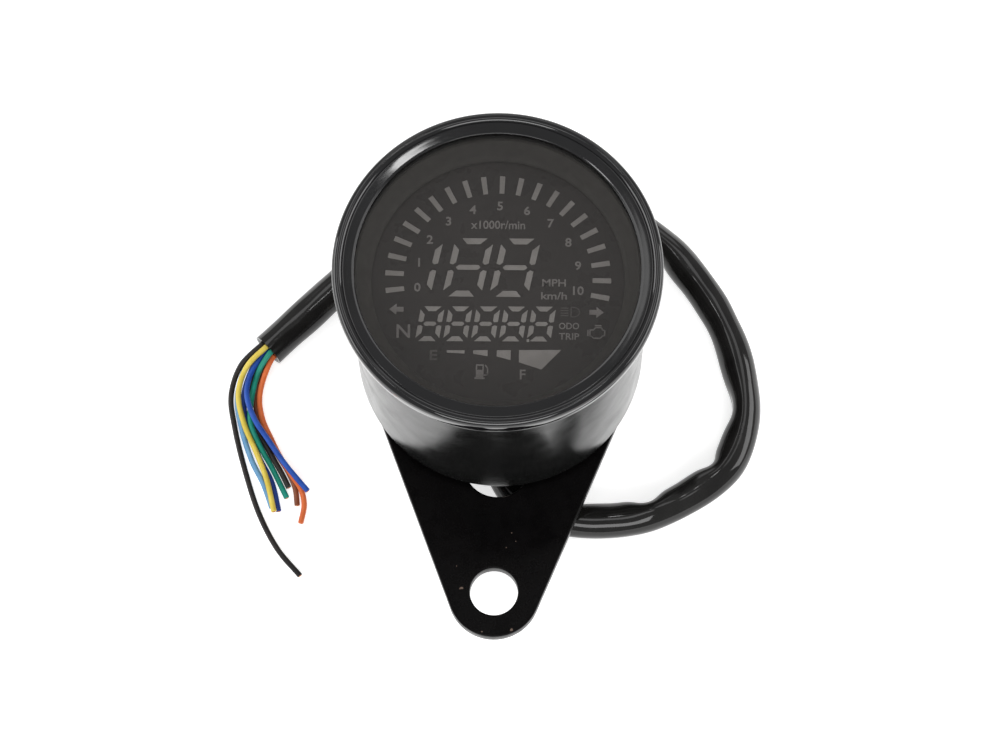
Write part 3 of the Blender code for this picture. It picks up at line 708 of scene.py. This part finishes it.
def shown(shapes, name, material):
    """Flat display elements from outlines, as thin plates on the glass."""
    made = joined(*[prism(outline, LCD_TOP - SUNK, LCD_TOP + LIFT) for outline in shapes])
    piece(name, *made, LOOK[material], slot="lcd_grey")


def placed(outline, x, y):
    """An outline moved to its place on the display, turned with it."""
    across, up = math.cos(math.radians(DISPLAY_TURN)), math.sin(math.radians(DISPLAY_TURN))
    return [(x + px * across - py * up, y + px * up + py * across) for px, py in outline]


def tick_marks():
    """The marks of the ring, from the left round to the right."""
    marks = []
    for i in range(21):
        angle = math.radians(TICK_START - TICK_STEP * i)
        x = RING_RADII[0] * math.cos(angle)
        y = RING_RADII[1] * math.sin(angle) + RING_CENTRE_Y
        out = Vector((math.cos(angle), math.sin(angle)))
        across = Vector((-out.y, out.x))
        half = 1.85
        corners = []
        for a, b in ((-half, -0.48), (half, -0.54), (half, 0.54), (-half, 0.48)):
            p = Vector((x, y)) + out * a + across * b
            corners.append((p.x, p.y))
        marks.append(corners)
    return marks


def digit(centre, size, half, thick, gaps, slant, segments="abcdefg"):
    """The lit bars of one figure: size is its width and height, half the (outer, inner)
    half-lengths of its top and bottom bars and the half-length of its middle bar, gaps the
    (outer, inner, middle) distances of the upright bars' ends from top and middle."""
    outer, inner, middle = half
    side, top = size[0] / 2, size[1] / 2
    near, mid = side - thick, thick * 0.42
    bars = {
        "a": [(-outer, top), (outer, top), (inner, top - thick), (-inner, top - thick)],
        "b": [(side, top - gaps[0]), (side, gaps[2]), (side - 0.6 * thick, gaps[2] * 0.7),
              (near, gaps[2] * 1.3), (near, top - gaps[1])],
        "g": [(-middle, 0), (-middle + mid, mid), (middle - mid, mid), (middle, 0),
              (middle - mid, -mid), (-middle + mid, -mid)],
    }
    for key, source, fx, fy in (("c", "b", 1, -1), ("e", "b", -1, -1), ("f", "b", -1, 1),
                                ("d", "a", 1, -1)):
        bars[key] = [(x * fx, y * fy) for x, y in bars[source]]
    return [placed([(x + y * slant, y) for x, y in bars[key]], *centre) for key in segments]


def words(entries, name, material, weight=0.02):
    """Flat lettering: (text, x, y, height, width or None) each centred at its place."""
    shapes = []
    for text, x, y, height, width in entries:
        curve = bpy.data.curves.new("lettering", "FONT")
        curve.body = text
        curve.align_x = "CENTER"
        curve.align_y = "CENTER"
        curve.size = height / 0.7
        curve.offset = weight * height
        curve.resolution_u = 3
        mesh = mesh_of(curve)
        xs = [v.co.x for v in mesh.vertices]
        ys = [v.co.y for v in mesh.vertices]
        squeeze = width / (max(xs) - min(xs)) if width else 1.0
        tall = height / (max(ys) - min(ys)) if text.upper() == text else 1.0
        cx, cy = (max(xs) + min(xs)) / 2, (max(ys) + min(ys)) / 2
        bm = bmesh.new()
        bm.from_mesh(mesh)
        bmesh.ops.remove_doubles(bm, verts=bm.verts, dist=1e-5)
        extruded = bmesh.ops.extrude_face_region(bm, geom=bm.faces[:])
        raised = [g for g in extruded["geom"] if isinstance(g, bmesh.types.BMVert)]
        bmesh.ops.translate(bm, verts=raised, vec=(0, 0, 1.0))
        bm.verts.ensure_lookup_table()
        bm.verts.index_update()
        flat = placed([((v.co.x - cx) * squeeze, (v.co.y - cy) * tall) for v in bm.verts], x, y)
        heights = [LCD_TOP + (LIFT if v.co.z > 0.5 else -SUNK) for v in bm.verts]
        verts = [(px, py, z) for (px, py), z in zip(flat, heights)]
        shapes.append((verts, [tuple(v.index for v in face.verts) for face in bm.faces]))
        bm.free()
        bpy.data.meshes.remove(mesh)
    piece(name, *joined(*shapes), LOOK[material], slot="lcd_grey", sharp=30.0)


def moved(outline, x, y):
    return [(px + x, py + y) for px, py in outline]


def box_outline(x, y, width, height):
    return [(x - width / 2, y - height / 2), (x + width / 2, y - height / 2),
            (x + width / 2, y + height / 2), (x - width / 2, y + height / 2)]


def path_bars(points, thick, closed=True):
    """A drawn line as short bars."""
    bars = []
    ends = list(zip(points, points[1:] + points[:1])) if closed else list(zip(points, points[1:]))
    for (ax, ay), (bx, by) in ends:
        along = Vector((bx - ax, by - ay)).normalized() * thick / 2
        side = Vector((-along.y, along.x))
        a, b = Vector((ax, ay)) - along * 0.7, Vector((bx, by)) + along * 0.7
        bars.append([tuple(a + side), tuple(a - side), tuple(b - side), tuple(b + side)])
    return bars


def make_display():
    glass = [(0.0, LCD_TOP), (13.0, LCD_TOP), (26.3, LCD_TOP), (26.6, LCD_TOP - 0.3),
             (26.6, LCD_TOP - 2.5), (26.3, LCD_TOP - 2.8), (13.0, LCD_TOP - 2.8), (0.0, LCD_TOP - 2.8)]
    piece("display_glass", *turned(glass, 128, loop=False), LOOK["lcd_grey"],
          replaces=["lcd_panel"], slot="lcd_grey")
    shown(tick_marks(), "tachometer_ring", "segment_grey")
    slant = 0.21
    speed = []
    for x, y, lit in ((-16.0, 2.7, "bc"), (-6.0, 2.85, "abcdefg"), (3.3, 3.0, "abcdefg")):
        speed += digit((x, y), (7.7, 12.2), (2.5, 1.3, 2.45), 1.22, (1.25, 2.45, 0.8), slant, lit)
    shown(speed, "speed_figures", "segment_grey")
    distance = []
    for k in range(5):
        distance += digit((-13.2 + 5.5 * k, -9.05 + 0.11 * k), (4.7, 7.2), (1.7, 0.7, 1.3),
                          1.0, (0.65, 1.7, 0.45), 0.15)
    distance.append(box_outline(6.2, -12.1, 0.5, 0.6))
    shown(distance, "distance_figures", "segment_grey")
    fuel = [
        [(-9.7, -14.45), (-9.7, -14.95), (-6.2, -15.05), (-6.2, -14.4)],
        [(-4.5, -14.35), (-4.5, -15.05), (-1.65, -15.5), (-1.65, -14.25)],
        [(0.15, -14.25), (0.15, -15.5), (2.9, -16.2), (2.9, -14.15)],
        [(4.5, -14.1), (4.55, -16.6), (9.0, -18.0), (12.8, -13.9)],
    ]
    shown(fuel, "fuel_bars", "segment_grey")
    arrow = [[(-1.45, 0.0), (0.0, 1.15), (0.0, -1.15)], [(0.0, 0.5), (1.4, 0.5), (1.4, -0.5), (0.0, -0.5)]]
    icons = [moved(part, -19.9, -6.2) for part in arrow]
    icons += [moved([(-x, y) for x, y in part], 19.6, -5.95) for part in arrow]
    icons += [box_outline(-3.1, -18.8, 1.5, 0.9), box_outline(-3.1, -20.05, 2.0, 0.35),
              box_outline(-3.75, -17.9, 0.3, 1.0), box_outline(-2.45, -17.9, 0.3, 1.0),
              box_outline(-3.1, -17.35, 1.5, 0.3), box_outline(-3.1, -19.55, 1.5, 0.7)]
    hose = [(-2.2, -19.4), (-1.75, -19.4), (-1.55, -19.1), (-1.55, -18.0), (-2.0, -17.4)]
    icons += path_bars(hose, 0.26, closed=False)
    shown(icons, "tell_tales", "print_grey")
    engine = [(18.4, -9.6), (19.1, -9.6), (19.5, -9.1), (20.6, -9.1), (20.9, -9.6), (21.3, -9.7),
              (21.3, -10.7), (20.9, -10.8), (20.4, -11.3), (19.1, -11.3), (18.7, -10.9), (18.4, -10.9)]
    outline = path_bars(engine, 0.26) + path_bars([(19.4, -8.7), (20.6, -8.7)], 0.26, closed=False)
    outline += path_bars([(18.0, -9.7), (18.0, -10.8)], 0.26, closed=False)
    shown(outline, "engine_mark", "print_grey")
    bowl = [(15.0 + 1.3 * x, -6.0 + y) for x, y in arc((0.0, 0.0), 1.0, 80, -80, 8)]
    lamp = [(14.6, -5.0)] + bowl + [(14.6, -7.0)]
    beams = path_bars(lamp, 0.22)
    for k in range(4):
        beams += path_bars([(12.6, -5.2 - 0.52 * k), (14.0, -5.2 - 0.52 * k)], 0.18, closed=False)
    shown(beams, "headlamp_mark", "faint_grey")
    numbers = []
    for k, (x, y) in enumerate(arc((0.0, 0.0), 1.0, 188.0, -8.0, 10)):
        numbers.append((str(k), 16.1 * x, 15.3 * y + RING_CENTRE_Y, 1.85, None))
    words(numbers, "tachometer_numbers", "print_grey", 0.034)
    words([("x1000r/min", -0.3, 11.9, 1.7, 10.8), ("MPH", 11.1, 0.0, 1.5, 4.7),
           ("km/h", 11.15, -2.7, 1.5, 5.1), ("N", -18.4, -10.7, 2.8, 2.7),
           ("ODO", 14.25, -8.9, 1.35, 4.0), ("TRIP", 14.3, -11.05, 1.35, 4.0),
           ("F", 5.35, -19.1, 2.0, None)], "unit_marks", "print_grey")
    words([("E", -12.3, -15.5, 2.1, 1.5)], "empty_mark", "faint_grey", 0.03)


# ---- bracket ----
def rounded_plate(name, outlines, low, high, edge, material, **more):
    """A flat plate with rounded edges: the outlines are already smaller by the edge's radius."""
    curve = bpy.data.curves.new(name, "CURVE")
    curve.dimensions = "2D"
    curve.fill_mode = "BOTH"
    curve.extrude = (high - low) / 2 - edge
    curve.bevel_depth = edge
    curve.bevel_resolution = 3
    for outline in outlines:
        spline = curve.splines.new("POLY")
        spline.points.add(len(outline) - 1)
        for point, (x, y) in zip(spline.points, outline):
            point.co = (x, y, 0.0, 1.0)
        spline.use_cyclic_u = True
    mesh = mesh_of(curve)
    middle = (low + high) / 2
    verts = [(v.co.x, v.co.y, v.co.z + middle) for v in mesh.vertices]
    faces = [tuple(p.vertices) for p in mesh.polygons]
    bpy.data.meshes.remove(mesh)
    item = piece(name, verts, faces, material, **more)
    for polygon in item.data.polygons:
        if abs(polygon.normal.z) > 0.999:
            polygon.use_smooth = False
    return item


def hole(x, y, radius, count=64):
    return arc((x, y), radius, 0, 360 - 360 / count, count - 1)


def make_bracket():
    """Teardrop plate: radii of its round head and tail, and the distance between them."""
    head, tail, reach, edge = 28.8, 9.6, 51.8, 0.35
    lean = math.degrees(math.asin((head - tail) / reach))
    outline = arc((0, 0), head - edge, -lean, 180 + lean, 120)
    outline += arc((0, -reach), tail - edge, 180 + lean, 360 - lean, 60)
    holes = [hole(0, -reach, 5.0 + edge), hole(0, -24.5, 7.0 + edge), hole(0, 0, 6.2 + edge),
             hole(-STUD_X, 0, 2.9 + edge, 40), hole(STUD_X, 0, 2.9 + edge, 40),
             hole(0, BUTTON_Y, 7.0 + edge)]
    rounded_plate("bracket", [outline] + holes, PLATE_LOW, PLATE_HIGH, edge,
                  LOOK["bracket_black"], replaces=["bracket_plate"], slot="bracket_black")


# ---- fastenings ----
def threaded(radius, pitch, low, high, at, depth=0.38, steps=48, rings_per_turn=8):
    """A stud whose thread is cut into its surface, with a chamfered end."""
    count = int((high - low) / pitch * rings_per_turn)
    verts, rows = [(at[0], at[1], high)], [[0]]
    for i in range(count + 1):
        z = high - (high - low) * i / count
        fade = min(1.0, (z - low) / 0.9)
        rows.append(list(range(len(verts), len(verts) + steps)))
        for k in range(steps):
            angle = math.tau * k / steps
            phase = (z / pitch - angle / math.tau) % 1.0
            cut = depth * (1.0 - abs(2.0 * phase - 1.0) * 1.25)
            r = radius - max(0.0, min(depth, cut)) - 0.5 * (1.0 - fade)
            verts.append((at[0] + r * math.cos(angle), at[1] + r * math.sin(angle), z))
    rows.append([len(verts)])
    verts.append((at[0], at[1], low))
    return verts, bridge(rows, False)


def nut(at, across, low, high, bore):
    """A hexagon nut with its corners turned off at both faces."""
    steps = 72
    height = high - low
    corner = across / 2 / math.cos(math.radians(30))
    levels = [(0.0, 0.0), (0.06, 0.35), (0.16, 0.7), (0.30, 1.0), (0.70, 1.0), (0.84, 0.7),
              (0.94, 0.35), (1.0, 0.0)]
    verts, rows = [], []
    for share, full in levels:
        rows.append(list(range(len(verts), len(verts) + steps)))
        for k in range(steps):
            angle = math.tau * k / steps
            local = (angle + math.pi / 6) % (math.pi / 3) - math.pi / 6
            hexagon = across / 2 / math.cos(local)
            limit = across / 2 * 0.97 + (corner - across / 2 * 0.97) * full
            r = min(hexagon, limit)
            verts.append((at[0] + r * math.cos(angle), at[1] + r * math.sin(angle),
                          low + height * share))
    for r, z in ((bore + 0.35, high), (bore, high - 0.35), (bore, low + 0.35), (bore + 0.35, low)):
        rows.append(list(range(len(verts), len(verts) + steps)))
        for k in range(steps):
            angle = math.tau * k / steps
            verts.append((at[0] + r * math.cos(angle), at[1] + r * math.sin(angle), z))
    return verts, bridge(rows, True)


def washer(at, inner, outer, low, high, edge=0.12):
    profile = [(outer - edge, high), (outer, high - edge), (outer, low + edge),
               (outer - edge, low), (inner + edge, low), (inner, low + edge),
               (inner, high - edge), (inner + edge, high)]
    return turned(profile, 64, at)


def split_washer(at, inner, outer, low, high):
    """A spring washer: a cut ring whose two ends stand apart."""
    thick = (high - low) * 0.72
    count = 60
    verts, rows = [], []
    for i in range(count + 1):
        share = i / count
        angle = math.radians(8 + 344 * share)
        base = low + (high - low - thick) * share
        rows.append(list(range(len(verts), len(verts) + 4)))
        for r, z in ((outer, base), (outer, base + thick), (inner, base + thick), (inner, base)):
            verts.append((at[0] + r * math.cos(angle), at[1] + r * math.sin(angle), z))
    faces = bridge(rows, False)
    faces += [tuple(rows[0]), tuple(reversed(rows[-1]))]
    return verts, faces


def make_fastenings():
    for side, x in (("left", -STUD_X), ("right", STUD_X)):
        at = (x, 0.0)
        low, high = [c.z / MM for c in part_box(f"mounting_stud_{side}")]
        head = [(0.0, high), (4.7, high), (5.0, high - 0.3), (5.0, high - 2.0), (0.0, high - 2.0)]
        shapes = joined(turned(head, 48, at, loop=False),
                        threaded(2.5, 0.8, low, high - 1.0, at))
        piece(f"stud_{side}", *shapes, LOOK["zinc"], replaces=[f"mounting_stud_{side}"], slot="zinc")
        for kind in ("plain_washer", "spring_washer", "mounting_nut"):
            node = f"{kind}_{side}"
            low, high = [c.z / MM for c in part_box(node)]
            if kind == "plain_washer":
                made = washer(at, 2.8, 5.0, low, high)
            elif kind == "spring_washer":
                made = split_washer(at, 2.8, 4.4, low, high)
            else:
                made = nut(at, 8.0, low, high, 2.8)
            piece(f"fine_{node}", *made, LOOK["zinc"], replaces=[node], slot="zinc", sharp=30.0)


# ---- cable boot ----
def make_boot():
    """Grommet and ribbed elbow that lead the cable out along the back."""
    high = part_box("cable_boot")[1].z / MM
    flange_low = PLATE_LOW - 1.9
    plug = [(0.0, high), (4.9, high), (6.8, high - 0.6), (7.8, high - 1.4), (8.0, high - 1.8),
            (8.0, high - 3.1), (5.8, high - 3.1), (5.8, PLATE_LOW - 0.3), (8.4, PLATE_LOW - 0.3),
            (8.6, PLATE_LOW - 0.5), (8.6, flange_low + 0.5), (8.2, flange_low), (0.0, flange_low)]
    bend, centre = 7.6, 4.9
    start_r, mouth_r, bore_r = 4.86, 4.55, 3.95
    points = [Vector((0.0, 0.0, PLATE_LOW - 0.8))]
    for y, z in arc((-bend, centre + bend), bend, 0, -90, 12):
        points.append(Vector((0.0, y, z - 1.6 + 1.6 * (y / -bend))))
    points += [Vector((0.0, -11.5, 4.76)), BOOT_MOUTH]
    line = smooth_route(points, 0.25)
    total = length_of(line)
    last = len(line) - 1

    def shape(i, angle):
        if i in (0, last + 4):
            return 0.0
        if i > last + 1:
            return bore_r
        i = min(i - 1, last)
        s = total * i / last
        r = start_r + (mouth_r - start_r) * s / total
        phase = (s % 2.0) / 2.0
        if 5.0 < s < total - 2.2 and phase < 0.45:
            r -= 0.42 * math.sin(math.pi * phase / 0.45)
        if i > last - 2:
            r -= 0.12 * (i - last + 2)
        return r

    back = (line[-6] - line[-1]).normalized()
    path = [line[0], *line, line[-1], line[-1] + back * 2.0, line[-1] + back * 2.0]
    elbow = sweep(path, shape, 48, up=(1.0, 0.0, 0.0))
    piece("boot", *joined(turned(plug, 64, loop=False), elbow), LOOK["rubber"],
          replaces=["cable_boot"], slot="rubber", sharp=55.0)


# ---- select button ----
def make_button():
    at = (0.0, BUTTON_Y)
    low, high = [c.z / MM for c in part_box("button_cap")]
    cap = [(0.0, high), (2.9, high), (3.0, high - 0.1), (3.0, low + 1.0)]
    cap += arc((2.2, low + 0.8), 0.8, 0, -90, 8)
    for groove in (1.7, 0.95):
        cap += [(groove, low), (groove - 0.1, low + 0.12), (groove - 0.35, low + 0.12),
                (groove - 0.45, low)]
    cap.append((0.0, low))
    piece("button", *turned(cap, 64, at, loop=False), LOOK["rubber"], body="button",
          replaces=["button_cap"], slot="rubber")
    low, high = [c.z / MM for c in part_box("button_body")]
    top = low + 1.6
    body = [(0.0, high), (3.8, high), (4.0, high - 0.2)]
    z = high - 1.0
    while z > top + 1.2:
        body += [(4.0, z), (3.72, z - 0.35)]
        z -= 0.7
    body += [(4.0, top + 0.5), (4.0, top), (5.3, top), (5.5, top - 0.2), (5.5, low + 0.4)]
    body += arc((5.1, low + 0.4), 0.4, 0, -90, 5)
    body += [(3.5, low), (3.3, low + 0.2), (3.3, high - 1.5), (0.0, high - 1.5)]
    piece("button_bushing", *turned(body, 64, at, loop=False), LOOK["soft_black"],
          replaces=["button_body"], slot="soft_black", sharp=30.0)


def paint_inner_nodes():
    """The sealed pieces keep their CAD shape and take a finished material."""
    looks = {
        "milky_plastic": ["backlight_guide"] + [f"backlight_led_{i}" for i in range(1, 5)],
        "carrier_white": ["inner_carrier", "board_header", "harness_plug"],
        "board_green": ["main_board"],
        "chip_black": ["microcontroller", "display_driver", "voltage_regulator",
                       "input_capacitor", "output_capacitor"],
        "zinc": ["crystal", "button_nut", "button_spring"],
        "soft_black": ["inner_loom", "cable_tie", "button_lead"],
        "rubber": ["lens_gasket"],
        "zebra_strip": ["zebra_strip_top", "zebra_strip_bottom"],
    }
    for look, names in looks.items():
        for name in names:
            node = NODES[name]
            node.data.materials.clear()
            node.data.materials.append(LOOK[look])


# ---- studio ----
def soft_light(name, place, aim, width, height, power):
    """A white rectangular light, in metres and watts."""
    data = bpy.data.lights.new(name, "AREA")
    data.shape = "RECTANGLE"
    data.size = width
    data.size_y = height
    data.energy = power
    lamp = bpy.data.objects.new(name, data)
    bpy.context.scene.collection.objects.link(lamp)
    lamp.location = place
    lamp.rotation_mode = "QUATERNION"
    lamp.rotation_quaternion = (Vector(aim) - Vector(place)).to_track_quat("-Z", "Y")


def make_studio():
    half = 3.0
    mesh = bpy.data.meshes.new("floor")
    mesh.from_pydata([(-half, -half, 0), (half, -half, 0), (half, half, 0), (-half, half, 0)],
                     [], [(0, 1, 2, 3)])
    floor = bpy.data.objects.new("floor", mesh)
    bpy.context.scene.collection.objects.link(floor)
    floor.location.z = -0.00005
    material, tree, principled = shader("floor_white", Roughness=0.9, Specular_IOR_Level=0.0,
                                        Emission_Strength=0.60)
    principled.inputs["Emission Color"].default_value = (1.0, 1.0, 1.0, 1.0)
    tone = mix_colour(tree, noise_node(tree, 2.0), (0.90, 0.90, 0.895), (0.93, 0.93, 0.925))
    tree.links.new(tone, principled.inputs["Base Color"])
    mesh.materials.append(material)

    world = bpy.data.worlds.new("studio")
    world.use_nodes = True
    background = world.node_tree.nodes["Background"]
    background.inputs["Color"].default_value = (1.0, 1.0, 1.0, 1.0)
    background.inputs["Strength"].default_value = 0.38
    bpy.context.scene.world = world
    bpy.context.scene.view_settings.view_transform = "Standard"

    centre = (0.0, AXIS_Y * MM, 0.04)
    soft_light("lamp_right", (0.080, 0.215, 1.07), centre, 0.045, 0.040, 0.075)
    soft_light("lamp_left", (-0.190, 0.165, 1.07), centre, 0.060, 0.055, 0.075)
    soft_light("panel_right", (0.34, 0.45, 1.05), (0.34, 0.45, 0.0), 0.34, 0.5, 0.75)
    soft_light("panel_left", (-0.34, 0.45, 1.05), (-0.34, 0.45, 0.0), 0.34, 0.5, 0.85)
    soft_light("ceiling_front", (0.0, -0.12, 1.10), (0.0, -0.12, 0.0), 0.55, 0.22, 0.75)
    soft_light("back_wall", (0.0, 1.3, 0.75), centre, 1.6, 0.5, 2.6)
    soft_light("side_left", (-1.0, 0.1, 0.55), centre, 0.9, 0.5, 5.0)
    soft_light("side_right", (1.0, 0.1, 0.55), centre, 0.9, 0.5, 5.0)
    soft_light("front", (0.0, -1.1, 0.95), centre, 1.2, 0.5, 9.0)


make_camera()
make_cords()
make_bezel()
make_lens_piece()
make_mask()
make_cup()
make_display()
make_bracket()
make_fastenings()
make_boot()
make_button()
paint_inner_nodes()
make_studio()
